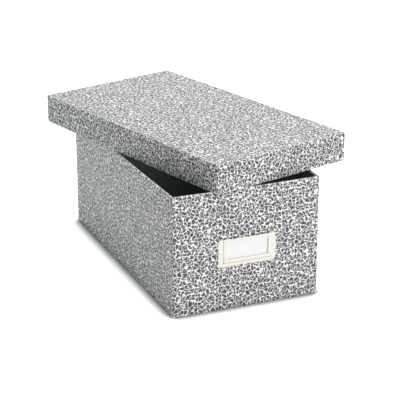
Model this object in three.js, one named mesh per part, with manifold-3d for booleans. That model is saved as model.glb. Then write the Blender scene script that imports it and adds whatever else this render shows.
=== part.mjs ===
// Index card file box: an open tray with a lift-off lid lying askew across its rim.
// Both are folded board, covered in agate paper outside and lined with black paper inside.
// Millimetres, +Z up. The origin is the middle of the tray's underside, the front wall faces -Y.

import * as THREE from 'three';
import { mergeVertices } from 'three/addons/utils/BufferGeometryUtils.js';
import Module from 'manifold-3d';

const wasm = await Module();
wasm.setup();

// Sheets that the box is made of
const COVER_PAPER = 0.3;
const LINING_PAPER = 0.25;
const TRAY_BOARD = 1.85;
const LID_BOARD = 1.4;
// Layers of the tray lie face to face, layers of the lid keep a glue line
const TRAY_GLUE_LINE = 0;
const LID_GLUE_LINE = 0.25;

// Tray for 6 x 4 inch cards standing on edge
const TRAY_WIDTH = 165;
const TRAY_LENGTH = 305;
const TRAY_HEIGHT = 132;

// Lid that slips over the tray, lying turned across the rim
const LID_SLIP = 1.2;
const LID_DEPTH = 31.5;
const LID_TURN = 15.2;
const LID_SHIFT_X = 4.8;
const LID_SHIFT_Y = 10.2;
const LID_REST_GAP = 0.3;

// Folds of the covered board
const CORNER_ROUND = 2;
const EDGE_ROUND = 1.3;
const TURN_IN = 15;
const TURN_UNDER = 18;
const TURN_UNDER_ROUND = 3;
const RIM_REVEAL = 1.2;

// Label holder, stamped from one sheet
const HOLDER_SHEET = 0.5;
const HOLDER_WIDTH = 62.8;
const HOLDER_HEIGHT = 30.4;
const HOLDER_SIDE_BOW = 1.3;
const HOLDER_CORNER = 1.4;
const HOLDER_CENTRE_Z = 63.5;
const FRAME_WIDTH = 53;
const FRAME_HEIGHT = 25.9;
const FRAME_RAISE = 1.2;
const FRAME_EASE = 0.4;
const WINDOW_WIDTH = 47;
const FRAME_BOTTOM_STRIP = 3.4;
const FRAME_TOP_STRIP = 3.3;

// Card in the holder
const CARD_SHEET = 0.4;
const CARD_SIDE_CLEARANCE = 0.4;
const CARD_TOP_SHORT = 0.8;

// Rivets that hold the label holder
const RIVET_SHANK = 1.8;
const RIVET_HEAD = 3.2;
const RIVET_HEAD_HEIGHT = 0.55;
const RIVET_UPSET = 3.6;
const RIVET_UPSET_HEIGHT = 0.5;
const RIVET_HOLE_CLEARANCE = 0.3;

// Curve fineness
const CORNER_STEPS = 4;
const ROUND_STEPS = 20;
const CUT_PAST = 1;

const agatePaper = () => new THREE.MeshStandardMaterial({ color: 0xb4b4b5, roughness: 0.62 });
const blackPaper = () => new THREE.MeshStandardMaterial({ color: 0x17191a, roughness: 0.85 });
const greyBoard = () => new THREE.MeshStandardMaterial({ color: 0x5d5a55, roughness: 0.92 });
const creamEnamel = () => new THREE.MeshStandardMaterial({ color: 0xf1eee2, roughness: 0.35 });
const whiteCard = () => new THREE.MeshStandardMaterial({ color: 0xf4f4f5, roughness: 0.7 });

// Closed three.js geometry to a solid
function solid(geometry) {
  geometry.deleteAttribute('normal');
  geometry.deleteAttribute('uv');
  const merged = mergeVertices(geometry, 1e-4);
  const vertProperties = new Float32Array(merged.attributes.position.array);
  const triVerts = new Uint32Array(merged.index.array);
  return new wasm.Manifold(new wasm.Mesh({ numProp: 3, vertProperties, triVerts }));
}

// Solid to a named three.js mesh
function part(name, shape, material) {
  const { numProp, vertProperties, triVerts } = shape.getMesh();
  const geometry = new THREE.BufferGeometry();
  geometry.setAttribute('position', new THREE.BufferAttribute(vertProperties, numProp));
  geometry.setIndex(new THREE.BufferAttribute(triVerts, 1));
  geometry.computeVertexNormals();
  const mesh = new THREE.Mesh(geometry, material);
  mesh.name = name;
  return mesh;
}

// Rectangle about the origin, given by half its sides, with arcs of radius round at its corners
function rectangle(halfX, halfY, round) {
  const shape = new THREE.Shape();
  if (round <= 0) {
    shape.moveTo(-halfX, -halfY);
    shape.lineTo(halfX, -halfY);
    shape.lineTo(halfX, halfY);
    shape.lineTo(-halfX, halfY);
    return shape;
  }
  const x = halfX - round;
  const y = halfY - round;
  shape.absarc(x, -y, round, -Math.PI / 2, 0, false);
  shape.absarc(x, y, round, 0, Math.PI / 2, false);
  shape.absarc(-x, y, round, Math.PI / 2, Math.PI, false);
  shape.absarc(-x, -y, round, Math.PI, 1.5 * Math.PI, false);
  return shape;
}

// Upright prism of a rectangle between two heights
function prism(half, round, bottom, top) {
  const shape = rectangle(half.x, half.y, round);
  const options = { depth: top - bottom, bevelEnabled: false, curveSegments: CORNER_STEPS };
  return solid(new THREE.ExtrudeGeometry(shape, options).translate(0, 0, bottom));
}

// The same prism with its lower edge rounded
function easedPrism(half, round, ease, bottom, top) {
  const options = {
    depth: top - bottom - 2 * ease,
    bevelEnabled: true,
    bevelThickness: ease,
    bevelSize: ease,
    bevelOffset: -ease,
    bevelSegments: CORNER_STEPS,
    curveSegments: CORNER_STEPS,
  };
  const shape = rectangle(half.x, half.y, round);
  const eased = solid(new THREE.ExtrudeGeometry(shape, options).translate(0, 0, bottom + ease));
  return eased.add(prism(half, round, bottom + ease, top));
}

function inset(half, by) {
  return { x: half.x - by, y: half.y - by };
}

// Widths and heights of the layers, from the outside in, for a tray with its open side up
function layers(size) {
  const outer = { x: size.width / 2, y: size.length / 2 };
  const coverInside = inset(outer, COVER_PAPER);
  const boardOutside = inset(coverInside, size.glue);
  const boardInside = inset(boardOutside, size.board);
  const turnInOutside = inset(boardInside, size.glue);
  const turnInInside = inset(turnInOutside, COVER_PAPER);
  const boardUnderside = COVER_PAPER + size.glue;
  return {
    outer,
    coverInside,
    boardOutside,
    boardInside,
    turnInOutside,
    turnInInside,
    liningLow: inset(boardInside, size.glue),
    liningHigh: inset(turnInInside, size.glue),
    boardUnderside,
    floor: boardUnderside + size.board,
    boardTop: size.height - COVER_PAPER - size.glue,
    turnInEnd: size.height - TURN_IN,
  };
}

// Wall stack of a tray: what its inside loses on each side to the layers at its rim
function wallStack(size) {
  return layers(size).outer.x - layers(size).liningHigh.x + LINING_PAPER;
}

// Opening that the turned-under edge of the cover paper leaves in the underside
function undersideOpening(size, clearance, bottom, top) {
  const half = inset(layers(size).outer, TURN_UNDER + clearance);
  return prism(half, TURN_UNDER_ROUND - clearance, bottom, top);
}

// Folded board: floor and four walls, with an underside flush with the turned-under cover paper
function boardTray(size) {
  const at = layers(size);
  const body = easedPrism(at.boardOutside, CORNER_ROUND, EDGE_ROUND, at.boardUnderside, at.boardTop);
  const cavity = prism(at.boardInside, 0, at.floor, at.boardTop + CUT_PAST);
  if (!size.open) {
    return body.subtract(cavity);
  }
  const middle = undersideOpening(size, size.glue, 0, at.floor - size.board / 2);
  return body.add(middle).subtract(cavity);
}

// Cover paper: outside walls, turned in over the rim, with a whole panel or a turned-under edge
function coverTray(size) {
  const at = layers(size);
  const outside = easedPrism(at.outer, CORNER_ROUND, EDGE_ROUND, 0, size.height);
  const insideRound = CORNER_ROUND - COVER_PAPER;
  const insideEase = EDGE_ROUND - COVER_PAPER;
  const rimUnderside = size.height - COVER_PAPER;
  const hollow = easedPrism(at.coverInside, insideRound, insideEase, COVER_PAPER, rimUnderside);
  const mouth = prism(at.turnInInside, 0, rimUnderside - CUT_PAST, size.height + CUT_PAST);
  const flapOutside = prism(at.turnInOutside, 0, at.turnInEnd, size.height - COVER_PAPER / 2);
  const flapInside = prism(at.turnInInside, 0, at.turnInEnd - CUT_PAST, size.height + CUT_PAST);
  const shell = outside.subtract(hollow).subtract(mouth).add(flapOutside.subtract(flapInside));
  if (!size.open) {
    return shell;
  }
  return shell.subtract(undersideOpening(size, 0, -CUT_PAST, COVER_PAPER + CUT_PAST));
}

// Lining paper: over the floor and the walls, stepping in over the turned-in cover paper
function liningTray(size) {
  const at = layers(size);
  const bottom = at.floor + size.glue;
  const step = at.turnInEnd - size.glue;
  const top = size.height - COVER_PAPER - RIM_REVEAL;
  const lowOutside = prism(at.liningLow, 0, bottom, step);
  const highOutside = prism(at.liningHigh, 0, step - LINING_PAPER, top);
  const lowInside = prism(inset(at.liningLow, LINING_PAPER), 0, bottom + LINING_PAPER, step - LINING_PAPER);
  const highInside = prism(inset(at.liningHigh, LINING_PAPER), 0, step - 2 * LINING_PAPER, top + CUT_PAST);
  return lowOutside.add(highOutside).subtract(lowInside).subtract(highInside);
}

// Solid cut through the front wall: an outline in x and z between two distances in front of the wall
function fromFront(shape, back, front, ease = 0) {
  const options = {
    depth: front - back - ease,
    bevelEnabled: ease > 0,
    bevelThickness: ease,
    bevelSize: ease,
    bevelOffset: -ease,
    bevelSegments: 2,
    curveSegments: CORNER_STEPS,
  };
  const geometry = new THREE.ExtrudeGeometry(shape, options);
  geometry.rotateX(Math.PI / 2);
  geometry.translate(0, -TRAY_LENGTH / 2 - back, 0);
  return solid(geometry);
}

function upright(left, right, bottom, top) {
  const shape = new THREE.Shape();
  shape.moveTo(left, bottom);
  shape.lineTo(right, bottom);
  shape.lineTo(right, top);
  shape.lineTo(left, top);
  return shape;
}

const holderBottom = HOLDER_CENTRE_Z - HOLDER_HEIGHT / 2;
const holderTop = HOLDER_CENTRE_Z + HOLDER_HEIGHT / 2;
const frameBottom = holderTop - FRAME_HEIGHT;
const pocketHalf = FRAME_WIDTH / 2 - HOLDER_SHEET;
const pocketBottom = frameBottom + HOLDER_SHEET;
const windowBottom = frameBottom + FRAME_BOTTOM_STRIP;
const windowTop = holderTop - FRAME_TOP_STRIP;
const rivetX = (FRAME_WIDTH / 2 + HOLDER_WIDTH / 2 + HOLDER_SIDE_BOW) / 2;
const trayWall = COVER_PAPER + TRAY_BOARD + LINING_PAPER + 2 * TRAY_GLUE_LINE;

// Flat flanges of the holder: straight above and below, bowed out at both sides
function holderOutline() {
  const half = HOLDER_WIDTH / 2;
  const c = HOLDER_CORNER;
  const bow = half + 2 * HOLDER_SIDE_BOW;
  const shape = new THREE.Shape();
  shape.moveTo(-half + c, holderBottom);
  shape.lineTo(half - c, holderBottom);
  shape.quadraticCurveTo(half, holderBottom, half, holderBottom + c);
  shape.quadraticCurveTo(bow, HOLDER_CENTRE_Z, half, holderTop - c);
  shape.quadraticCurveTo(half, holderTop, half - c, holderTop);
  shape.lineTo(-half + c, holderTop);
  shape.quadraticCurveTo(-half, holderTop, -half, holderTop - c);
  shape.quadraticCurveTo(-bow, HOLDER_CENTRE_Z, -half, holderBottom + c);
  shape.quadraticCurveTo(-half, holderBottom, -half + c, holderBottom);
  return shape;
}

// Round bar across the front wall, from a distance behind its outer face to one in front of it
function acrossWall(x, radius, back, front) {
  const geometry = new THREE.CylinderGeometry(radius, radius, front - back, ROUND_STEPS);
  geometry.translate(x, -TRAY_LENGTH / 2 - (front + back) / 2, HOLDER_CENTRE_Z);
  return solid(geometry);
}

function rivetHoles(shape) {
  const radius = RIVET_SHANK / 2 + RIVET_HOLE_CLEARANCE;
  const back = -trayWall - CUT_PAST;
  const front = HOLDER_SHEET + CUT_PAST;
  return shape
    .subtract(acrossWall(-rivetX, radius, back, front))
    .subtract(acrossWall(rivetX, radius, back, front));
}

function labelHolder() {
  const frame = upright(-FRAME_WIDTH / 2, FRAME_WIDTH / 2, frameBottom, holderTop);
  const pocket = upright(-pocketHalf, pocketHalf, pocketBottom, holderTop + CUT_PAST);
  const window = upright(-WINDOW_WIDTH / 2, WINDOW_WIDTH / 2, windowBottom, windowTop);
  const wall = upright(-FRAME_WIDTH, FRAME_WIDTH, frameBottom - CUT_PAST, holderTop + CUT_PAST);
  const stamped = fromFront(holderOutline(), 0, HOLDER_SHEET)
    .add(fromFront(frame, 0, FRAME_RAISE + HOLDER_SHEET, FRAME_EASE))
    .subtract(fromFront(wall, -CUT_PAST, 0))
    .subtract(fromFront(pocket, -CUT_PAST, FRAME_RAISE))
    .subtract(fromFront(window, -CUT_PAST, FRAME_RAISE + HOLDER_SHEET + CUT_PAST));
  return part('label_holder', rivetHoles(stamped), creamEnamel());
}

function labelCard() {
  const half = pocketHalf - CARD_SIDE_CLEARANCE;
  const card = upright(-half, half, pocketBottom, holderTop - CARD_TOP_SHORT);
  return part('label_card', fromFront(card, 0, CARD_SHEET), whiteCard());
}

// Domed rivet with its shank through the wall and its end upset on the lining
function holderRivet(name, x) {
  const dome = new THREE.Path();
  dome.moveTo(0, 0);
  dome.lineTo(RIVET_HEAD / 2, 0);
  dome.quadraticCurveTo(RIVET_HEAD / 2, RIVET_HEAD_HEIGHT, 0, RIVET_HEAD_HEIGHT);
  const head = new THREE.LatheGeometry(dome.getPoints(CORNER_STEPS), ROUND_STEPS);
  head.rotateX(Math.PI);
  head.translate(x, -TRAY_LENGTH / 2 - HOLDER_SHEET, HOLDER_CENTRE_Z);
  const shankBack = -trayWall - RIVET_UPSET_HEIGHT / 2;
  const shankFront = HOLDER_SHEET + RIVET_HEAD_HEIGHT / 2;
  const shank = acrossWall(x, RIVET_SHANK / 2, shankBack, shankFront);
  const upset = acrossWall(x, RIVET_UPSET / 2, -trayWall - RIVET_UPSET_HEIGHT, -trayWall);
  return part(name, solid(head).add(shank).add(upset), creamEnamel());
}

function tray() {
  const size = {
    width: TRAY_WIDTH,
    length: TRAY_LENGTH,
    height: TRAY_HEIGHT,
    board: TRAY_BOARD,
    glue: TRAY_GLUE_LINE,
    open: true,
  };
  const group = new THREE.Group();
  group.add(part('tray_board', rivetHoles(boardTray(size)), greyBoard()));
  group.add(part('tray_cover_paper', rivetHoles(coverTray(size)), agatePaper()));
  group.add(part('tray_lining_paper', rivetHoles(liningTray(size)), blackPaper()));
  group.add(labelHolder());
  group.add(labelCard());
  group.add(holderRivet('holder_rivet_left', -rivetX));
  group.add(holderRivet('holder_rivet_right', rivetX));
  return group;
}

// The lid is a shallow tray of the same make, open side down, with a whole cover panel on top
function lid() {
  const size = { height: LID_DEPTH, board: LID_BOARD, glue: LID_GLUE_LINE, open: false };
  const slip = LID_SLIP + wallStack({ ...size, width: 0, length: 0 });
  size.width = TRAY_WIDTH + 2 * slip;
  size.length = TRAY_LENGTH + 2 * slip;
  const inverted = new THREE.Group();
  inverted.add(part('lid_board', boardTray(size), greyBoard()));
  inverted.add(part('lid_cover_paper', coverTray(size), agatePaper()));
  inverted.add(part('lid_lining_paper', liningTray(size), blackPaper()));
  inverted.rotation.x = Math.PI;
  inverted.position.z = LID_DEPTH;
  const group = new THREE.Group();
  group.add(inverted);
  group.rotation.z = THREE.MathUtils.degToRad(LID_TURN);
  group.position.set(LID_SHIFT_X, LID_SHIFT_Y, TRAY_HEIGHT + LID_REST_GAP);
  return group;
}

const cardFileBox = new THREE.Group();
cardFileBox.add(tray());
cardFileBox.add(lid());

export default cardFileBox;
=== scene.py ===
# Index card file box: an open tray with its lift-off lid lying askew across the rim.
# Board covered in black and white agate paper, lined in black, with a cream label holder on the front.

import math

import bmesh
import bpy
from mathutils import Matrix, Vector


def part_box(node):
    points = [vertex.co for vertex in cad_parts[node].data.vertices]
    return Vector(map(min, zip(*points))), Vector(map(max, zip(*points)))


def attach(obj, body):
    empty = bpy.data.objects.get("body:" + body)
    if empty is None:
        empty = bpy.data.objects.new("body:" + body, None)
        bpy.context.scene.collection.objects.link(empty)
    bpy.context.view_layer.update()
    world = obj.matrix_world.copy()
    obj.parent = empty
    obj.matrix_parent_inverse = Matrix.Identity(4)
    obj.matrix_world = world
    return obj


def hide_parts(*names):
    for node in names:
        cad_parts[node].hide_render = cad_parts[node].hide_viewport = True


MM = 0.001

# Sheets of the box; the tray's lie directly on each other, the lid's have glue between them
COVER_PAPER = 0.3 * MM
LINING_PAPER = 0.25 * MM
TRAY_BOARD = 1.85 * MM
LID_BOARD = 1.4 * MM
TRAY_GLUE_LINE = 0.0
LID_GLUE_LINE = 0.25 * MM

# Play between the tray's outside and the lid's inside, at each side
LID_SLIP = 1.2 * MM

# Folds of the covered board
CORNER_ROUND = 2.0 * MM
INNER_CORNER_ROUND = 0.5 * MM
EDGE_ROUND = 1.3 * MM
RIM_ROUND = 0.75 * MM
TURN_IN = 15 * MM
TURN_UNDER = 18 * MM
TURN_UNDER_ROUND = 3 * MM
UNDERSIDE_RECESS = 0.15 * MM
RIM_REVEAL = 1.2 * MM
FOLD_SUPPORT = 0.6 * MM

# Lap of the cover paper on the back wall
LAP_EDGE = 55 * MM
LAP_STEP = 0.22 * MM
LAP_RUN = 0.25 * MM

# How far the walls bow out at mid-length, at the rim
TRAY_SIDE_BOW = 2.9 * MM
TRAY_END_BOW = 1.3 * MM
LID_SIDE_BOW = 0.9 * MM
LID_END_BOW = 0.5 * MM

# How the lid lies on the tray
LID_TURN = math.radians(15.2)
LID_SHIFT = Vector((4.8 * MM, 10.2 * MM))

# Label holder, pressed from one sheet
HOLDER_SHEET = 0.5 * MM
FLANGE_HALF = 31.4 * MM
FLANGE_BOW = 1.3 * MM
FLANGE_ROUND = 1.4 * MM
FRAME_HALF = 26.5 * MM
FRAME_HEIGHT = 25.9 * MM
FRAME_RAISE = 1.2 * MM
FRAME_EASE = 0.8 * MM
FRAME_CORNER = 1.1 * MM
WINDOW_HALF = 23.5 * MM
WINDOW_BOTTOM_STRIP = 3.4 * MM
WINDOW_TOP_STRIP = 3.3 * MM
HOLDER_EDGE_EASE = 0.12 * MM

# Card and rivets
CARD_SHEET = 0.35 * MM
CARD_CURL = 0.25 * MM
RIVET_SHANK = 0.9 * MM
RIVET_HEAD = 1.6 * MM
RIVET_HEAD_HEIGHT = 0.55 * MM
RIVET_UPSET = 1.8 * MM
RIVET_UPSET_HEIGHT = 0.5 * MM
RIVET_UPSET_EASE = 0.15 * MM
RIVET_UPSET_TOP = 0.8 * RIVET_UPSET

# Fineness of the meshes
FOLD_STEPS = 5
CORNER_STEPS = 6
LONG_STEPS = 30
SHORT_STEPS = 18
WALL_STEPS = 10
TURNED_STEPS = 32
RIVET_HEAD_STEPS = 8
SHARP_FROM = math.radians(38)

# Agate print: dark islands parted by a pale network, drawn out by a swirl
# The network's width is a share of the way into an island; the swirl is in island sizes
ISLAND_SIZE = 3.9 * MM
NETWORK_WIDTH = 0.16
NETWORK_SOFTNESS = 0.035
SWIRL_SIZE = 1.1
SWIRL_REACH = 2.1
INK = (0.057, 0.059, 0.062, 1)
GROUND = (0.8, 0.8, 0.805, 1)
AGED_GROUND = (0.66, 0.655, 0.63, 1)
RUBBED_PAPER = (0.68, 0.67, 0.65, 1)
FOLD_WEAR_REACH = 1.8 * MM

# Tones of the lining, the board and the card
LINING_DARK = (0.028, 0.037, 0.038, 1)
LINING_LIGHT = (0.045, 0.056, 0.057, 1)
LINING_DUST = (0.08, 0.09, 0.09, 1)
BOARD_DARK = (0.13, 0.12, 0.105, 1)
BOARD_LIGHT = (0.23, 0.215, 0.19, 1)
BOARD_FLECK = (0.32, 0.30, 0.27, 1)
CARD_DARK = (0.71, 0.71, 0.715, 1)
CARD_LIGHT = (0.76, 0.76, 0.765, 1)
# Painted shade on the card, under the edges of the holder's frame
CARD_PAINTED_SHADE = (0.16, 0.155, 0.14, 1)

# Enamel of the label holder, the line of dirt and painted shade along its frame's foot, and the chips on
# it
ENAMEL_DARK = (0.70, 0.682, 0.62, 1)
ENAMEL_LIGHT = (0.76, 0.742, 0.685, 1)
# Tone of the dirt and painted shade along the frame's foot
ENAMEL_DIRT_AND_SHADE = (0.36, 0.325, 0.26, 1)
ENAMEL_CHIP = (0.33, 0.28, 0.19, 1)
ENAMEL_SPECK = (0.45, 0.40, 0.30, 1)
DIRT_AND_SHADE_WIDTH = 1.3 * MM
CHIP_WIDTH = 1.1 * MM

# Floor and world: the glow is only for what sees them directly
FLOOR_HALF = 4.0
FLOOR_OPEN = (0.9, 0.9, 0.9, 1)
# Tone of the floor's painted contact shadow right beside the box
FLOOR_PAINTED_SHADOW = (0.42, 0.42, 0.42, 1)
FLOOR_GLOW = 0.58
CONTACT_SHADE_REACH = 16 * MM
WORLD_LIGHT = 0.22
WORLD_SEEN = 1.0

# Camera, solved from the edges of the box in the photograph
IMAGE_SIZE = 400
SENSOR_WIDTH = 36
FOCAL_PIXELS = 1484.4
CAMERA_YAW = math.radians(-22.904)
CAMERA_PITCH = math.radians(20.493)
CAMERA_ROLL = math.radians(-0.063)
CAMERA_OFFSET = Vector((11.16 * MM, 61.31 * MM, 1682 * MM))

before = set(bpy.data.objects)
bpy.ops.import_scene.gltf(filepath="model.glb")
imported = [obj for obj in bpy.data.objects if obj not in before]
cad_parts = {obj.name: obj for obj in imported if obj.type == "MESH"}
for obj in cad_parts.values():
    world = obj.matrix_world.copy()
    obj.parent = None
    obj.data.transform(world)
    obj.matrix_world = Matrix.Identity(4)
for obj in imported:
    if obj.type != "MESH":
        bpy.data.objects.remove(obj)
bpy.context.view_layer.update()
tray_low, tray_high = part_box("tray_cover_paper")
holder_low, holder_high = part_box("label_holder")
card_low, card_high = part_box("label_card")
lid_low, lid_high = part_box("lid_cover_paper")

holder_middle = (holder_low.z + holder_high.z) / 2
holder_half = (holder_high.z - holder_low.z) / 2
frame_bottom = holder_high.z - FRAME_HEIGHT
window_bottom = frame_bottom + WINDOW_BOTTOM_STRIP
window_top = holder_high.z - WINDOW_TOP_STRIP


def rounded_ring(half_x, half_y, radius):
    """Points round a rectangle with round corners, counterclockwise from its lower right corner."""
    corners = (
        (1, -1, -90, LONG_STEPS),
        (1, 1, 0, SHORT_STEPS),
        (-1, 1, 90, LONG_STEPS),
        (-1, -1, 180, SHORT_STEPS),
    )
    arcs = []
    for sign_x, sign_y, start, _ in corners:
        points = []
        for i in range(CORNER_STEPS + 1):
            angle = math.radians(start + 90 * i / CORNER_STEPS)
            x = sign_x * (half_x - radius) + radius * math.cos(angle)
            y = sign_y * (half_y - radius) + radius * math.sin(angle)
            points.append(Vector((x, y)))
        arcs.append(points)
    ring = []
    for n, (_, _, _, steps) in enumerate(corners):
        ring += arcs[n]
        start, end = arcs[n][-1], arcs[(n + 1) % 4][0]
        ring += [start.lerp(end, i / steps) for i in range(1, steps)]
    return ring


def fold(inset, z, radius, start, end):
    """Round fold in a wall's profile: 180 degrees points out of the wall, 0 into the box, 90 up."""
    points = []
    for i in range(FOLD_STEPS + 1):
        angle = math.radians(start + (end - start) * i / FOLD_STEPS)
        points.append((inset + radius * math.cos(angle), z + radius * math.sin(angle)))
    return points


def rise(inset, bottom, top):
    """Upright stretch of a wall's profile between two folds, without its ends."""
    return [(inset, bottom + (top - bottom) * i / WALL_STEPS) for i in range(1, WALL_STEPS)]


def new_piece(name, mesh, material):
    """Object of a mesh in one material, shaded smooth but for its sharp folds."""
    mesh.materials.append(material)
    for polygon in mesh.polygons:
        polygon.use_smooth = True
    mesh.set_sharp_from_angle(angle=SHARP_FROM)
    piece = bpy.data.objects.new(name, mesh)
    bpy.context.scene.collection.objects.link(piece)
    return piece


def swept(half_x, half_y, profile, panels, under_round=None):
    """Mesh of a profile carried round the box. With panels, both its ends are closed by a flat panel."""
    bm = bmesh.new()
    rings = []
    for inset, z in profile:
        radius = max(CORNER_ROUND - inset, INNER_CORNER_ROUND)
        if under_round and inset >= TURN_UNDER:
            radius = under_round
        outline = rounded_ring(half_x - inset, half_y - inset, radius)
        rings.append([bm.verts.new((p.x, p.y, z)) for p in outline])
    pairs = list(zip(rings, rings[1:]))
    if not panels:
        pairs.append((rings[-1], rings[0]))
    count = len(rings[0])
    for lower, upper in pairs:
        for i in range(count):
            j = (i + 1) % count
            bm.faces.new((lower[i], lower[j], upper[j], upper[i]))
    if panels:
        bm.faces.new(list(reversed(rings[0])))
        bm.faces.new(rings[-1])
    bmesh.ops.recalc_face_normals(bm, faces=bm.faces)
    return bm


def layers(size):
    """Insets and heights of the sheets, for a tray with its open side up."""
    board_outside = COVER_PAPER + size["glue"]
    board_inside = board_outside + size["board"]
    turn_in_outside = board_inside + size["glue"]
    return {
        "board_outside": board_outside,
        "board_inside": board_inside,
        "turn_in_outside": turn_in_outside,
        "turn_in_inside": turn_in_outside + COVER_PAPER,
        "board_underside": board_outside,
        "floor": board_inside,
        "board_top": size["height"] - COVER_PAPER - size["glue"],
    }


def cover_profile(size):
    """Cover paper: up the outside, over the rim, down inside, and back along its own underside."""
    at = layers(size)
    height = size["height"]
    inner = at["turn_in_inside"]
    rim = height - RIM_ROUND
    thin = RIM_ROUND - COVER_PAPER
    edge = TURN_UNDER if size["open"] else EDGE_ROUND + FOLD_SUPPORT
    profile = [(edge, 0.0)]
    if size["open"]:
        profile.append((EDGE_ROUND + FOLD_SUPPORT, 0.0))
    profile += fold(EDGE_ROUND, EDGE_ROUND, EDGE_ROUND, 270, 180)
    profile += rise(0.0, EDGE_ROUND, rim)
    profile += fold(RIM_ROUND, rim, RIM_ROUND, 180, 90)
    profile += fold(inner - RIM_ROUND, rim, RIM_ROUND, 90, 0)
    profile += [(inner, height - TURN_IN), (inner - COVER_PAPER, height - TURN_IN)]
    profile += fold(inner - RIM_ROUND, rim, thin, 0, 90)
    profile += fold(RIM_ROUND, rim, thin, 90, 180)
    profile += rise(COVER_PAPER, rim, EDGE_ROUND)
    profile += fold(EDGE_ROUND, EDGE_ROUND, EDGE_ROUND - COVER_PAPER, 180, 270)
    profile.append((edge, COVER_PAPER))
    return profile


def board_profile(size):
    """Folded board: from its underside up the outside of the wall, over the top and down to the floor."""
    at = layers(size)
    outside, inside = at["board_outside"], at["board_inside"]
    under, top = at["board_underside"], at["board_top"]
    fold_radius = EDGE_ROUND - under
    top_radius = RIM_ROUND - COVER_PAPER
    middle = TURN_UNDER if size["open"] else EDGE_ROUND + FOLD_SUPPORT
    profile = [(middle, under)]
    if size["open"]:
        profile.insert(0, (middle, UNDERSIDE_RECESS))
    profile += fold(outside + fold_radius, under + fold_radius, fold_radius, 270, 180)
    profile += rise(outside, under + fold_radius, top - top_radius)
    profile += fold(outside + top_radius, top - top_radius, top_radius, 180, 90)
    profile += fold(inside - top_radius, top - top_radius, top_radius, 90, 0)
    profile += rise(inside, top - top_radius, at["floor"])
    profile += [(inside, at["floor"]), (inside + FOLD_SUPPORT, at["floor"])]
    return profile


def lining_profile(size):
    """Lining paper: over the floor, up the wall, stepping in over the turned-in cover paper."""
    at = layers(size)
    low = at["turn_in_outside"]
    high = at["turn_in_inside"] + size["glue"]
    bottom = at["floor"] + size["glue"]
    step = size["height"] - TURN_IN - size["glue"]
    top = size["height"] - COVER_PAPER - RIM_REVEAL
    sheet = LINING_PAPER
    profile = [(low + sheet + 2 * FOLD_SUPPORT, bottom + sheet)]
    profile += fold(low + sheet + FOLD_SUPPORT, bottom + sheet + FOLD_SUPPORT, FOLD_SUPPORT, 270, 180)
    profile += rise(low + sheet, bottom + sheet + FOLD_SUPPORT, step - 2 * sheet)
    profile += [(low + sheet, step - 2 * sheet), (high + sheet, step - sheet)]
    profile += rise(high + sheet, step - sheet, top)
    profile += [(high + sheet, top), (high, top), (high, step)]
    profile += [(low, step - sheet)]
    profile += rise(low, step - sheet, bottom + FOLD_SUPPORT)
    profile += fold(low + FOLD_SUPPORT, bottom + FOLD_SUPPORT, FOLD_SUPPORT, 180, 270)
    profile.append((low + 2 * FOLD_SUPPORT, bottom))
    return profile


def bow_out(bm, half_x, half_y, side_bow, end_bow, height):
    """Bows the walls outwards, most at the rim and at mid-length, as paper-covered board does."""
    for vert in bm.verts:
        x, y, z = vert.co
        rise_share = max(0.0, z / height) ** 2
        across, along = x / half_x, y / half_y
        vert.co.x += across * side_bow * max(0.0, 1 - along * along) * rise_share
        vert.co.y += along * end_bow * max(0.0, 1 - across * across) * rise_share


def lap_seam(bm, half_y):
    """Raises the free end of the cover paper where it laps over itself on the back wall."""
    for vert in bm.verts:
        if vert.co.y > half_y - COVER_PAPER / 2 and vert.co.z > EDGE_ROUND:
            share = min(1.0, max(0.0, (vert.co.x - LAP_EDGE) / LAP_RUN + 0.5))
            vert.co.y += LAP_STEP * share


def finished_mesh(name, bm):
    """Mesh data of a bmesh, which is freed."""
    mesh = bpy.data.meshes.new(name)
    bm.to_mesh(mesh)
    bm.free()
    return mesh


# Shader helpers

class Nodes:
    """Shader nodes of one tree, each made and linked in one call."""

    def __init__(self, tree):
        self.tree = tree

    def put(self, socket, value):
        """Feeds a socket from another node's output, or sets it to a constant."""
        if isinstance(value, bpy.types.NodeSocket):
            self.tree.links.new(value, socket)
        else:
            socket.default_value = value

    def node(self, kind, inputs=(), **settings):
        """Node of a kind, with its settings and its sockets fed."""
        made = self.tree.nodes.new(kind)
        for key, value in settings.items():
            setattr(made, key, value)
        for key, value in dict(inputs).items():
            self.put(made.inputs[key], value)
        return made

    def math(self, operation, a, b=0.0, c=0.0, clamp=False):
        """Result of a calculation with up to three values."""
        made = self.node("ShaderNodeMath", {0: a, 1: b, 2: c}, operation=operation, use_clamp=clamp)
        return made.outputs["Value"]

    def vector(self, operation, a, b=(0, 0, 0), scale=1.0):
        """Result of a calculation with places or directions."""
        made = self.node("ShaderNodeVectorMath", {0: a, 1: b, 3: scale}, operation=operation)
        return made.outputs["Vector"]

    def ramp(self, value, low, high, to_low=0.0, to_high=1.0):
        """Smooth step of a value between two levels."""
        inputs = {"Value": value, "From Min": low, "From Max": high, "To Min": to_low, "To Max": to_high}
        return self.node("ShaderNodeMapRange", inputs, interpolation_type="SMOOTHSTEP").outputs["Result"]

    def blend(self, share, a, b):
        """Colour between two colours."""
        made = self.node("ShaderNodeMix", {"Factor": share}, data_type="RGBA")
        self.put(made.inputs[6], a)
        self.put(made.inputs[7], b)
        return made.outputs[2]

    def noise(self, place, size, detail=2.0, roughness=0.5, colour=False):
        """Noise whose features are about the given size, in metres."""
        inputs = {"Vector": place, "Scale": 1.0 / size, "Detail": detail, "Roughness": roughness}
        made = self.node("ShaderNodeTexNoise", inputs)
        return made.outputs["Color" if colour else "Fac"]

    def use(self, group, inputs):
        """Outputs of a node group placed in this tree."""
        made = self.node("ShaderNodeGroup", node_tree=group)
        for key, value in inputs.items():
            self.put(made.inputs[key], value)
        return made.outputs


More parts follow.
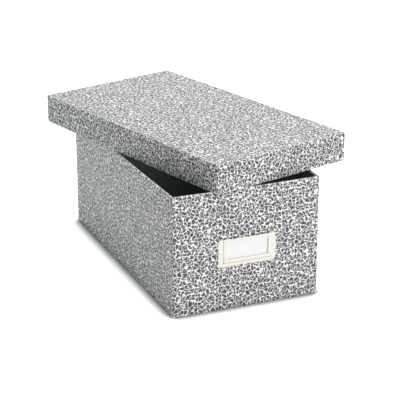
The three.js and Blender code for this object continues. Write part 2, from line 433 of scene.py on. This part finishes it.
def new_group(name, inputs, outputs):
    """Empty node group with its sockets, its tree's helper, its input node and its output node."""
    group = bpy.data.node_groups.new(name, "ShaderNodeTree")
    for label, kind, value in inputs:
        socket = group.interface.new_socket(label, in_out="INPUT", socket_type=kind)
        if value is not None:
            socket.default_value = value
    for label, kind in outputs:
        group.interface.new_socket(label, in_out="OUTPUT", socket_type=kind)
    tree = Nodes(group)
    return group, tree, tree.node("NodeGroupInput").outputs, tree.node("NodeGroupOutput").inputs


FLOAT, VECTOR = "NodeSocketFloat", "NodeSocketVector"


def wrap_group(name, over_panel):
    """Place on the flat sheet of paper before it was wrapped round a box about the origin.

    Over a panel, the sheet covers the top and comes down over the walls. Otherwise it runs round the
    walls as one strip and turns under the bottom.
    """
    inputs = [("Place", VECTOR, None), ("Half Size", VECTOR, None), ("High", FLOAT, 100 * MM)]
    group, tree, given, out = new_group(name, inputs, [("Sheet Place", VECTOR)])
    place = tree.node("ShaderNodeSeparateXYZ", {0: given["Place"]}).outputs
    half = tree.node("ShaderNodeSeparateXYZ", {0: given["Half Size"]}).outputs
    side_x, side_y = tree.math("SIGN", place["X"]), tree.math("SIGN", place["Y"])
    inset_x = tree.math("SUBTRACT", half["X"], tree.math("ABSOLUTE", place["X"]))
    inset_y = tree.math("SUBTRACT", half["Y"], tree.math("ABSOLUTE", place["Y"]))
    on_side = tree.math("LESS_THAN", inset_x, inset_y)
    on_end = tree.math("SUBTRACT", 1.0, on_side)
    if over_panel:
        drop = tree.math("SUBTRACT", given["High"], place["Z"])
        out_x = tree.math("MULTIPLY", tree.math("MULTIPLY", side_x, drop), on_side)
        out_y = tree.math("MULTIPLY", tree.math("MULTIPLY", side_y, drop), on_end)
        sheet_x = tree.math("ADD", place["X"], out_x)
        sheet_y = tree.math("ADD", place["Y"], out_y)
    else:
        around = tree.math("ADD", half["X"], half["Y"])
        end_run = tree.math("MULTIPLY", place["X"], tree.math("MULTIPLY", side_y, -1.0))
        end_start = tree.math("MULTIPLY", tree.math("MULTIPLY_ADD", side_y, 0.5, 0.5), around)
        side_run = tree.math("MULTIPLY", place["Y"], side_x)
        side_start = tree.math("MULTIPLY", side_x, around)
        end_place = tree.math("MULTIPLY_ADD", end_start, 2.0, end_run)
        side_place = tree.math("ADD", side_start, side_run)
        chosen_end = tree.math("MULTIPLY", end_place, on_end)
        sheet_x = tree.math("MULTIPLY_ADD", side_place, on_side, chosen_end)
        inset = tree.math("MINIMUM", inset_x, inset_y)
        sheet_y = tree.math("SUBTRACT", place["Z"], inset)
    sheet = tree.node("ShaderNodeCombineXYZ", {"X": sheet_x, "Y": sheet_y, "Z": 0.0})
    tree.put(out["Sheet Place"], sheet.outputs[0])
    return group


def agate_print_group():
    """Irregular dark islands parted by a pale network, as agate paper is printed on the flat sheet."""
    inputs = [("Sheet Place", VECTOR, None), ("Island Size", FLOAT, ISLAND_SIZE),
              ("Network", FLOAT, NETWORK_WIDTH)]
    group, tree, given, out = new_group("agate print", inputs, [("Ink", FLOAT), ("Density", FLOAT)])
    place = given["Sheet Place"]
    scaled = tree.vector("SCALE", place, scale=tree.math("DIVIDE", 1.0, given["Island Size"]))
    swirl = tree.noise(scaled, SWIRL_SIZE, detail=1.0, colour=True)
    swirl = tree.vector("SUBTRACT", swirl, (0.5, 0.5, 0.5))
    swirl = tree.vector("SCALE", swirl, scale=SWIRL_REACH)
    warped = tree.vector("ADD", scaled, swirl)
    cells = {"Vector": warped, "Scale": 1.0, "Randomness": 0.85}
    edge = tree.node("ShaderNodeTexVoronoi", cells, feature="DISTANCE_TO_EDGE", voronoi_dimensions="2D")
    next_middle = tree.node("ShaderNodeTexVoronoi", cells, feature="F2", voronoi_dimensions="2D")
    inward = tree.math("DIVIDE", edge.outputs["Distance"], next_middle.outputs["Distance"])
    pale_until = tree.math("SUBTRACT", given["Network"], NETWORK_SOFTNESS)
    dark_from = tree.math("ADD", given["Network"], NETWORK_SOFTNESS)
    tree.put(out["Ink"], tree.ramp(inward, pale_until, dark_from))
    tree.put(out["Density"], tree.noise(place, 1.6 * MM, detail=3.0))
    return group


def paper_grain_group():
    """Fine fibres and the soft waviness of pasted paper."""
    inputs = [("Place", VECTOR, None), ("Fibre Size", FLOAT, 0.6 * MM), ("Wave Size", FLOAT, 30 * MM)]
    group, tree, given, out = new_group("paper grain", inputs, [("Fibres", FLOAT), ("Waves", FLOAT)])
    for label, size, detail in (("Fibres", "Fibre Size", 3.0), ("Waves", "Wave Size", 1.0)):
        scale = tree.math("DIVIDE", 1.0, given[size])
        grain = {"Vector": given["Place"], "Scale": scale, "Detail": detail}
        tree.put(out[label], tree.node("ShaderNodeTexNoise", grain).outputs["Fac"])
    return group


def fold_wear_group():
    """Rubbed paper along the upright folds and the level folds of a box that stands on the origin."""
    inputs = [("Place", VECTOR, None), ("Half Size", VECTOR, None), ("High", FLOAT, 100 * MM),
              ("Reach", FLOAT, 1.6 * MM)]
    group, tree, given, out = new_group("fold wear", inputs, [("Wear", FLOAT)])
    place = tree.node("ShaderNodeSeparateXYZ", {0: tree.vector("ABSOLUTE", given["Place"])}).outputs
    height = tree.node("ShaderNodeSeparateXYZ", {0: given["Place"]}).outputs["Z"]
    half = tree.node("ShaderNodeSeparateXYZ", {0: given["Half Size"]}).outputs
    from_side = tree.math("SUBTRACT", half["X"], place["X"])
    from_end = tree.math("SUBTRACT", half["Y"], place["Y"])
    from_high = tree.math("SUBTRACT", given["High"], height)
    wall = tree.math("MINIMUM", tree.math("ABSOLUTE", from_side), tree.math("ABSOLUTE", from_end))
    other = tree.math("MAXIMUM", from_side, from_end)
    level = tree.math("MINIMUM", tree.math("ABSOLUTE", height), tree.math("ABSOLUTE", from_high))
    upright = tree.math("ADD", tree.math("ABSOLUTE", wall), tree.math("ABSOLUTE", other))
    fold_distance = tree.math("MINIMUM", upright, tree.math("ADD", wall, level))
    ragged = tree.math("MULTIPLY", tree.noise(given["Place"], 3.5 * MM, detail=3.0), given["Reach"])
    ragged_reach = tree.math("MULTIPLY", ragged, 1.6)
    share = tree.math("DIVIDE", fold_distance, ragged_reach)
    tree.put(out["Wear"], tree.math("SUBTRACT", 1.0, share, clamp=True))
    return group


agate_print = agate_print_group()
wrapped_strip = wrap_group("paper wrapped as a strip", False)
wrapped_panel = wrap_group("paper wrapped over a panel", True)
paper_grain = paper_grain_group()
fold_wear = fold_wear_group()


def new_material(name):
    """Material with its tree's helper, its Principled BSDF and its Object coordinates."""
    material = bpy.data.materials.new(name)
    material.use_nodes = True
    tree = Nodes(material.node_tree)
    surface = material.node_tree.nodes["Principled BSDF"]
    place = tree.node("ShaderNodeTexCoord").outputs["Object"]
    return material, tree, surface.inputs, place


def bump(tree, surface, height, distance, strength):
    """Relief of a surface from a height that changes over it."""
    made = tree.node("ShaderNodeBump", {"Height": height, "Distance": distance, "Strength": strength})
    tree.put(surface["Normal"], made.outputs["Normal"])


def agate_paper(name, wrap, size):
    """Printed cover paper of the tray or the lid, a little faded, aged, and rubbed along the folds."""
    material, tree, surface, place = new_material(name)
    box = {"Place": place, "Half Size": (size["half_x"], size["half_y"], 0), "High": size["height"]}
    sheet = tree.use(wrap, box)["Sheet Place"]
    print_size = {"Island Size": ISLAND_SIZE, "Network": NETWORK_WIDTH}
    printed = tree.use(agate_print, {"Sheet Place": sheet, **print_size})
    grain = tree.use(paper_grain, {"Place": place, "Fibre Size": 0.5 * MM, "Wave Size": 28 * MM})
    wear = tree.use(fold_wear, {**box, "Reach": FOLD_WEAR_REACH})["Wear"]
    faded_ink = tuple(0.6 * ink + 0.4 * ground for ink, ground in zip(INK, GROUND))
    faded = tree.ramp(printed["Density"], 0.5, 0.72, 0.0, 0.5)
    ink_tone = tree.blend(faded, INK, faded_ink)
    aged = tree.ramp(grain["Fibres"], 0.45, 0.75, 0.0, 0.35)
    ground_tone = tree.blend(aged, GROUND, AGED_GROUND)
    colour = tree.blend(printed["Ink"], ground_tone, ink_tone)
    rubbed = tree.math("MULTIPLY", wear, 0.3)
    tree.put(surface["Base Color"], tree.blend(rubbed, colour, RUBBED_PAPER))
    tree.put(surface["Roughness"], tree.math("MULTIPLY_ADD", grain["Fibres"], 0.18, 0.48))
    surface["Specular IOR Level"].default_value = 0.3
    height = tree.math("MULTIPLY_ADD", grain["Fibres"], 0.05, grain["Waves"])
    bump(tree, surface, height, 0.6 * MM, 0.6)
    return material


def black_paper():
    """Dull black lining paper with a little dust on it."""
    material, tree, surface, place = new_material("black lining paper")
    grain = tree.use(paper_grain, {"Place": place, "Fibre Size": 0.7 * MM, "Wave Size": 35 * MM})
    tone = tree.blend(grain["Fibres"], LINING_DARK, LINING_LIGHT)
    dust = tree.ramp(tree.noise(place, 11 * MM, detail=5.0), 0.56, 0.78, 0.0, 0.5)
    tree.put(surface["Base Color"], tree.blend(dust, tone, LINING_DUST))
    tree.put(surface["Roughness"], tree.math("MULTIPLY_ADD", grain["Fibres"], 0.2, 0.6))
    surface["Specular IOR Level"].default_value = 0.3
    height = tree.math("MULTIPLY_ADD", grain["Fibres"], 0.08, grain["Waves"])
    bump(tree, surface, height, 0.6 * MM, 0.5)
    return material


def grey_board():
    """Bare grey board with pale flecks of waste paper in it."""
    material, tree, surface, place = new_material("grey board")
    grain = tree.use(paper_grain, {"Place": place, "Fibre Size": 0.9 * MM, "Wave Size": 20 * MM})
    tone = tree.blend(grain["Fibres"], BOARD_DARK, BOARD_LIGHT)
    fleck = tree.ramp(tree.noise(place, 2.1 * MM, detail=2.0), 0.64, 0.7)
    tree.put(surface["Base Color"], tree.blend(fleck, tone, BOARD_FLECK))
    tree.put(surface["Roughness"], tree.math("MULTIPLY_ADD", grain["Fibres"], 0.1, 0.84))
    bump(tree, surface, grain["Fibres"], 0.1 * MM, 0.7)
    return material


def white_card():
    """Blank white card, with painted shade where the holder's frame covers it."""
    material, tree, surface, place = new_material("white card")
    grain = tree.use(paper_grain, {"Place": place, "Fibre Size": 0.6 * MM, "Wave Size": 20 * MM})
    tone = tree.blend(grain["Fibres"], CARD_DARK, CARD_LIGHT)
    # Painted shade on the card just beyond the window's side edges, where the frame shades it
    across = tree.math("ABSOLUTE", tree.node("ShaderNodeSeparateXYZ", {0: place}).outputs["X"])
    painted_shade_under_frame = tree.ramp(across, WINDOW_HALF - 0.1 * MM, WINDOW_HALF + 0.4 * MM, 0.0, 0.85)
    tree.put(surface["Base Color"], tree.blend(painted_shade_under_frame, tone, CARD_PAINTED_SHADE))
    tree.put(surface["Roughness"], tree.math("MULTIPLY_ADD", grain["Fibres"], 0.1, 0.6))
    bump(tree, surface, grain["Fibres"], 0.03 * MM, 0.5)
    return material


def line_shade(tree, distance, width):
    """Soft line of a given half width where a distance is zero."""
    return tree.math("SUBTRACT", 1.0, tree.ramp(tree.math("ABSOLUTE", distance), 0.0, width))


def cream_enamel():
    """Cream enamel on steel, with dirt and painted shade along the foot of the pressed frame, darkest
    below it, and chipped outer edges.
    """
    material, tree, surface, place = new_material("cream enamel")
    axes = tree.node("ShaderNodeSeparateXYZ", {0: place}).outputs
    across = tree.math("ABSOLUTE", axes["X"])
    # Line of dirt and painted shade along the frame's sides and foot, strongest below its foot
    out_side = tree.math("SUBTRACT", across, FRAME_HALF + FRAME_EASE / 2)
    out_foot = tree.math("SUBTRACT", frame_bottom - FRAME_EASE / 2, axes["Z"])
    foot = line_shade(tree, tree.math("MAXIMUM", out_side, out_foot), DIRT_AND_SHADE_WIDTH)
    below = tree.ramp(out_foot, -1.0 * MM, 0.0, 0.12, 1.0)
    up = tree.math("ABSOLUTE", tree.math("SUBTRACT", axes["Z"], holder_middle))
    rim_level = tree.math("SUBTRACT", up, holder_half)
    rim_side = tree.math("SUBTRACT", across, FLANGE_HALF + FLANGE_BOW / 2)
    rim = line_shade(tree, tree.math("MAXIMUM", rim_level, rim_side), CHIP_WIDTH)
    cloud = tree.noise(place, 9 * MM, detail=3.0)
    ragged = tree.noise(place, 2.8 * MM, detail=4.0, roughness=0.6)
    tone = tree.blend(cloud, ENAMEL_DARK, ENAMEL_LIGHT)
    # Dirt and painted shade, broken up by noise
    dirt_and_shade = tree.math("MULTIPLY", foot, below)
    dirt_and_shade = tree.math("MULTIPLY", dirt_and_shade, tree.ramp(ragged, 0.3, 0.6, 0.55, 0.95))
    tone = tree.blend(dirt_and_shade, tone, ENAMEL_DIRT_AND_SHADE)
    chipped = tree.math("MULTIPLY", rim, tree.ramp(ragged, 0.5, 0.62, 0.0, 0.75))
    tone = tree.blend(chipped, tone, ENAMEL_CHIP)
    fine = tree.noise(place, 1.3 * MM, detail=4.0, roughness=0.7)
    speck = tree.ramp(fine, 0.66, 0.74, 0.0, 0.35)
    tree.put(surface["Base Color"], tree.blend(speck, tone, ENAMEL_SPECK))
    tree.put(surface["Roughness"], tree.math("MULTIPLY_ADD", cloud, 0.16, 0.26))
    surface["Coat Weight"].default_value = 0.3
    surface["Coat Roughness"].default_value = 0.15
    bump(tree, surface, tree.noise(place, 1.1 * MM, detail=2.0), 0.04 * MM, 0.4)
    return material


# The tray

tray_size = {
    "half_x": (tray_high.x - tray_low.x) / 2,
    "half_y": (tray_high.y - tray_low.y) / 2,
    "height": tray_high.z - tray_low.z,
    "board": TRAY_BOARD,
    "glue": TRAY_GLUE_LINE,
    "open": True,
}
front_face = -tray_size["half_y"]

tray_agate = agate_paper("agate paper of the tray", wrapped_strip, tray_size)
lining_black = black_paper()
board_grey = grey_board()
card_white = white_card()
holder_cream = cream_enamel()


def tray_sheet(name, profile, material, node, panels=True, under_round=None, lap=False):
    """One sheet of the tray, swept round it and bowed out with its walls."""
    half_x, half_y = tray_size["half_x"], tray_size["half_y"]
    bm = swept(half_x, half_y, profile, panels, under_round)
    if lap:
        lap_seam(bm, half_y)
    bow_out(bm, half_x, half_y, TRAY_SIDE_BOW, TRAY_END_BOW, tray_size["height"])
    piece = new_piece(name, finished_mesh(name, bm), material)
    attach(piece, "tray")
    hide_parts(node)


tray_sheet("tray_agate_cover", cover_profile(tray_size), tray_agate, "tray_cover_paper",
           panels=False, under_round=TURN_UNDER_ROUND, lap=True)
tray_sheet("tray_folded_board", board_profile(tray_size), board_grey, "tray_board",
           under_round=TURN_UNDER_ROUND)
tray_sheet("tray_black_lining", lining_profile(tray_size), lining_black, "tray_lining_paper")


# The lid, built open side up about its own middle and then turned over

lid_wall = 2 * COVER_PAPER + LID_BOARD + 3 * LID_GLUE_LINE + LINING_PAPER
lid_size = {
    "half_x": tray_size["half_x"] + LID_SLIP + lid_wall,
    "half_y": tray_size["half_y"] + LID_SLIP + lid_wall,
    "height": lid_high.z - lid_low.z,
    "board": LID_BOARD,
    "glue": LID_GLUE_LINE,
    "open": False,
}
lid_agate = agate_paper("agate paper of the lid", wrapped_panel, lid_size)


def lid_sheet(name, profile, material, node):
    """One sheet of the lid, swept with its open side up, turned over and laid askew on the tray."""
    half_x, half_y = lid_size["half_x"], lid_size["half_y"]
    bm = swept(half_x, half_y, profile, panels=True)
    bow_out(bm, half_x, half_y, LID_SIDE_BOW, LID_END_BOW, lid_size["height"])
    turned_over = Matrix.Translation((0, 0, lid_size["height"])) @ Matrix.Rotation(math.pi, 4, "X")
    bmesh.ops.transform(bm, matrix=turned_over, verts=bm.verts)
    piece = new_piece(name, finished_mesh(name, bm), material)
    piece.location = (LID_SHIFT.x, LID_SHIFT.y, lid_low.z)
    piece.rotation_euler.z = LID_TURN
    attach(piece, "lid")
    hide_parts(node)


lid_sheet("lid_agate_cover", cover_profile(lid_size), lid_agate, "lid_cover_paper")
lid_sheet("lid_folded_board", board_profile(lid_size), board_grey, "lid_board")
lid_sheet("lid_black_lining", lining_profile(lid_size), lining_black, "lid_lining_paper")


# Label holder, card and rivets on the front wall

def wall_bow(x, z):
    """How far the bowed front wall stands out from its flat plane at a place on it."""
    across = x / tray_size["half_x"]
    return TRAY_END_BOW * (1 - across * across) * (z / tray_size["height"]) ** 2


def smooth(share):
    """Smooth step of a share, held between 0 and 1."""
    share = min(1.0, max(0.0, share))
    return share * share * (3 - 2 * share)


def spread(start, end, step):
    """Even places from start to end, about a step apart, without the end."""
    count = max(1, round(abs(end - start) / step))
    return [start + (end - start) * i / count for i in range(count)]


def frame_height(x, z):
    """Height of the pressed frame above the flange, easing up from its round-cornered outline."""
    out_x = abs(x) - (FRAME_HALF - FRAME_CORNER)
    out_z = (frame_bottom + FRAME_CORNER) - z
    if out_x > 0 and out_z > 0:
        inside = FRAME_CORNER - math.hypot(out_x, out_z)
    else:
        inside = FRAME_CORNER - max(out_x, out_z)
    return FRAME_RAISE * smooth(inside / FRAME_EASE + 0.5)


def holder_columns():
    """Places across the right half of the holder, from the middle to the flange's edge before it bows."""
    fine = FRAME_EASE / 4
    ease_start = FRAME_HALF - FRAME_CORNER - FRAME_EASE
    ease_end = FRAME_HALF + FRAME_EASE
    return (spread(0, WINDOW_HALF, 4 * MM) + spread(WINDOW_HALF, ease_start, 0.5 * MM)
            + spread(ease_start, ease_end, fine) + spread(ease_end, FLANGE_HALF, 0.4 * MM) + [FLANGE_HALF])


def holder_rows():
    """Heights on the holder, from its foot to its top edge."""
    fine = FRAME_EASE / 4
    ease_start = frame_bottom - FRAME_EASE
    ease_end = frame_bottom + FRAME_CORNER + FRAME_EASE
    return (spread(holder_low.z, ease_start, 0.35 * MM) + spread(ease_start, ease_end, fine)
            + spread(ease_end, window_bottom, 0.4 * MM) + spread(window_bottom, window_top, 2 * MM)
            + spread(window_top, holder_high.z, 0.4 * MM) + [holder_high.z])


def flange_place(x, z):
    """A place of the holder's grid, with the flange bowed out at its sides and rounded at its corners."""
    limit = FLANGE_HALF - FLANGE_ROUND
    up = z - holder_middle
    limit_up = holder_half - FLANGE_ROUND
    u, v = (abs(x) - limit) / FLANGE_ROUND, (abs(up) - limit_up) / FLANGE_ROUND
    if u > 0 and v > 0:
        x = math.copysign(limit + FLANGE_ROUND * u * math.sqrt(1 - v * v / 2), x)
        z = holder_middle + math.copysign(limit_up + FLANGE_ROUND * v * math.sqrt(1 - u * u / 2), up)
    share = max(0.0, (abs(x) - FRAME_HALF - FRAME_EASE) / (FLANGE_HALF - FRAME_HALF - FRAME_EASE))
    bow = FLANGE_BOW * max(0.0, 1 - (up / holder_half) ** 2)
    return x + math.copysign(bow * share, x), z


def wall_grid(columns, rows, place, kept=lambda x, z: True):
    """Mesh of the kept fields of a grid, with each of its points put in its place on the wall."""
    bm = bmesh.new()
    grid = [[bm.verts.new(place(x, z)) for x in columns] for z in rows]
    for r in range(len(rows) - 1):
        for c in range(len(columns) - 1):
            middle_x = (columns[c] + columns[c + 1]) / 2
            middle_z = (rows[r] + rows[r + 1]) / 2
            if kept(middle_x, middle_z):
                bm.faces.new((grid[r][c], grid[r][c + 1], grid[r + 1][c + 1], grid[r + 1][c]))
    bmesh.ops.delete(bm, geom=[v for v in bm.verts if not v.link_faces], context="VERTS")
    return bm


def thicken(piece, sheet):
    """Gives a piece the thickness of its sheet, outwards."""
    thickness = piece.modifiers.new("sheet thickness", "SOLIDIFY")
    thickness.thickness = sheet
    thickness.offset = 1.0
    return thickness


def pressed_place(x, z):
    """A place of the holder's grid on the bowed wall, raised where the frame is."""
    place_x, place_z = flange_place(x, z)
    return place_x, front_face - wall_bow(place_x, place_z) - frame_height(x, z), place_z


def card_place(x, z):
    """A place of the card on the bowed wall, curled outwards at mid-width."""
    across = 2 * (x - card_low.x) / (card_high.x - card_low.x) - 1
    curl = CARD_CURL * (1 - across * across)
    return x, front_face - wall_bow(x, z) - curl, z


def outside_window(x, z):
    """Whether a place on the holder is beside its window."""
    return not (abs(x) < WINDOW_HALF and window_bottom < z < window_top)


def press_holder():
    """Label holder: one grid over flange and frame, without the window, made as thick as the sheet."""
    columns = holder_columns()
    columns = [-x for x in reversed(columns[1:])] + columns
    bm = wall_grid(columns, holder_rows(), pressed_place, outside_window)
    piece = new_piece("holder_pressed_sheet", finished_mesh("holder_pressed_sheet", bm), holder_cream)
    thicken(piece, HOLDER_SHEET).use_even_offset = True
    eased = piece.modifiers.new("eased edges", "BEVEL")
    eased.width = HOLDER_EDGE_EASE
    eased.segments = 2
    eased.angle_limit = math.radians(60)
    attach(piece, "tray")
    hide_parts("label_holder")


def cut_card():
    """Card in the holder, curled a little towards the window."""
    columns = spread(card_low.x, card_high.x, 2 * MM) + [card_high.x]
    rows = spread(card_low.z, card_high.z, 2 * MM) + [card_high.z]
    bm = wall_grid(columns, rows, card_place)
    piece = new_piece("blank_card", finished_mesh("blank_card", bm), card_white)
    thicken(piece, CARD_SHEET)
    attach(piece, "tray")
    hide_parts("label_card")


def turn_rivet(name, node):
    """Rivet through flange and front wall: domed head, shank and the end upset inside the tray."""
    low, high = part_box(node)
    x, z = (low.x + high.x) / 2, (low.z + high.z) / 2
    face = front_face - wall_bow(x, z) - HOLDER_SHEET
    inside = high.y - RIVET_UPSET_HEIGHT - wall_bow(x, z)
    length = inside - face
    outline = [(0.0, -RIVET_HEAD_HEIGHT)]
    for i in range(1, RIVET_HEAD_STEPS + 1):
        angle = math.radians(90 * i / RIVET_HEAD_STEPS)
        outline.append((RIVET_HEAD * math.sin(angle), -RIVET_HEAD_HEIGHT * math.cos(angle)))
    outline += [
        (RIVET_SHANK, 0.0),
        (RIVET_SHANK, length),
        (RIVET_UPSET, length),
        (RIVET_UPSET, length + RIVET_UPSET_HEIGHT - RIVET_UPSET_EASE),
        (RIVET_UPSET_TOP, length + RIVET_UPSET_HEIGHT),
        (0.0, length + RIVET_UPSET_HEIGHT),
    ]
    bm = bmesh.new()
    rings = []
    for radius, depth in outline:
        if radius == 0.0:
            rings.append([bm.verts.new((x, face + depth, z))])
            continue
        ring = []
        for i in range(TURNED_STEPS):
            angle = 2 * math.pi * i / TURNED_STEPS
            across, up = radius * math.cos(angle), radius * math.sin(angle)
            ring.append(bm.verts.new((x + across, face + depth, z + up)))
        rings.append(ring)
    for first, second in zip(rings, rings[1:]):
        for i in range(TURNED_STEPS):
            j = (i + 1) % TURNED_STEPS
            near = [first[i % len(first)], first[j % len(first)]]
            far = [second[j % len(second)], second[i % len(second)]]
            bm.faces.new(list(dict.fromkeys(near + far)))
    bmesh.ops.recalc_face_normals(bm, faces=bm.faces)
    piece = new_piece(name, finished_mesh(name, bm), holder_cream)
    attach(piece, "tray")
    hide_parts(node)


press_holder()
cut_card()
turn_rivet("left_rivet", "holder_rivet_left")
turn_rivet("right_rivet", "holder_rivet_right")


# Floor, lights, world and camera

def seen_directly(tree):
    """1 for rays from the camera and for those that come off metal or through glass, else 0."""
    rays = tree.node("ShaderNodeLightPath").outputs
    seen = tree.math("MAXIMUM", rays["Is Camera Ray"], rays["Is Glossy Ray"])
    return tree.math("MAXIMUM", seen, rays["Is Transmission Ray"])


def studio_floor():
    """White floor, with a soft contact shadow painted into its colour and glow where the box stands on it.
    """
    material, tree, surface, _ = new_material("white studio floor")
    surface["Roughness"].default_value = 1.0
    surface["Specular IOR Level"].default_value = 0.0
    surface["Emission Color"].default_value = (1, 1, 1, 1)
    # Painted contact shadow from ambient occlusion, darkening the floor's colour and glow beside the box
    openness = tree.node("ShaderNodeAmbientOcclusion", {"Distance": CONTACT_SHADE_REACH}, samples=8)
    outside_painted_shadow = tree.ramp(openness.outputs["AO"], 0.5, 0.98)
    tree.put(surface["Base Color"], tree.blend(outside_painted_shadow, FLOOR_PAINTED_SHADOW, FLOOR_OPEN))
    glow = tree.math("MULTIPLY", seen_directly(tree), outside_painted_shadow)
    tree.put(surface["Emission Strength"], tree.math("MULTIPLY", glow, FLOOR_GLOW))
    mesh = bpy.data.meshes.new("studio_floor")
    corners = [(-FLOOR_HALF, -FLOOR_HALF, 0), (FLOOR_HALF, -FLOOR_HALF, 0),
               (FLOOR_HALF, FLOOR_HALF, 0), (-FLOOR_HALF, FLOOR_HALF, 0)]
    mesh.from_pydata(corners, [], [(0, 1, 2, 3)])
    mesh.materials.append(material)
    floor = bpy.data.objects.new("studio_floor", mesh)
    bpy.context.scene.collection.objects.link(floor)


def softbox(name, place, target, width, height, power, colour=(1, 1, 1)):
    """Flat soft light, turned to its target."""
    light = bpy.data.lights.new(name, "AREA")
    light.shape = "RECTANGLE"
    light.size = width
    light.size_y = height
    light.energy = power
    light.color = colour
    lamp = bpy.data.objects.new(name, light)
    lamp.location = place
    lamp.rotation_euler = (Vector(target) - Vector(place)).to_track_quat("-Z", "Y").to_euler()
    bpy.context.scene.collection.objects.link(lamp)


def under_lid_fill(place, radius, power):
    """Weak soft light inside the tray, so that its black lining isn't lost."""
    light = bpy.data.lights.new("under_lid_fill", "POINT")
    light.energy = power
    light.shadow_soft_size = radius
    lamp = bpy.data.objects.new("under_lid_fill", light)
    lamp.location = place
    bpy.context.scene.collection.objects.link(lamp)


def studio_world():
    """White world that lights the box weakly."""
    world = bpy.data.worlds.new("white studio")
    world.use_nodes = True
    bpy.context.scene.world = world
    tree = Nodes(world.node_tree)
    background = world.node_tree.nodes["Background"].inputs
    background["Color"].default_value = (1, 1, 1, 1)
    extra = WORLD_SEEN - WORLD_LIGHT
    strength = tree.math("MULTIPLY_ADD", seen_directly(tree), extra, WORLD_LIGHT)
    tree.put(background["Strength"], strength)


def place_camera():
    """Camera turned by its yaw, pitch and roll, and set back along its own axes."""
    side = Vector((math.cos(CAMERA_YAW), math.sin(CAMERA_YAW), 0))
    level = math.cos(CAMERA_PITCH)
    back = Vector((math.sin(CAMERA_YAW) * level, -math.cos(CAMERA_YAW) * level, math.sin(CAMERA_PITCH)))
    up = back.cross(side)
    turned = Matrix((side, up, back)).transposed()
    place = turned @ CAMERA_OFFSET
    data = bpy.data.cameras.new("photo_camera")
    data.sensor_width = SENSOR_WIDTH
    data.lens = FOCAL_PIXELS * SENSOR_WIDTH / IMAGE_SIZE
    camera = bpy.data.objects.new("photo_camera", data)
    camera.matrix_world = (Matrix.Translation(place) @ turned.to_4x4()
                           @ Matrix.Rotation(CAMERA_ROLL, 4, "Z"))
    bpy.context.scene.collection.objects.link(camera)
    bpy.context.scene.camera = camera


studio_floor()
studio_world()
softbox("top_softbox", place=(0.2, 0.3, 1.6), target=(0, 0, 0.1), width=1.6, height=1.6, power=24)
softbox("front_softbox", place=(0.45, -1.6, 1.25), target=(0, -0.1, 0.08), width=1.5, height=1.0,
        power=31)
softbox("left_softbox", place=(-0.62, 0.7, 0.36), target=(-0.08, 0.12, 0.1), width=0.4, height=0.4,
        power=2.2, colour=(0.82, 1.0, 0.83))
under_lid_fill(place=(-0.01, 0.08, 0.06), radius=0.04, power=0.1)
place_camera()

scene = bpy.context.scene
scene.view_settings.view_transform = "Standard"
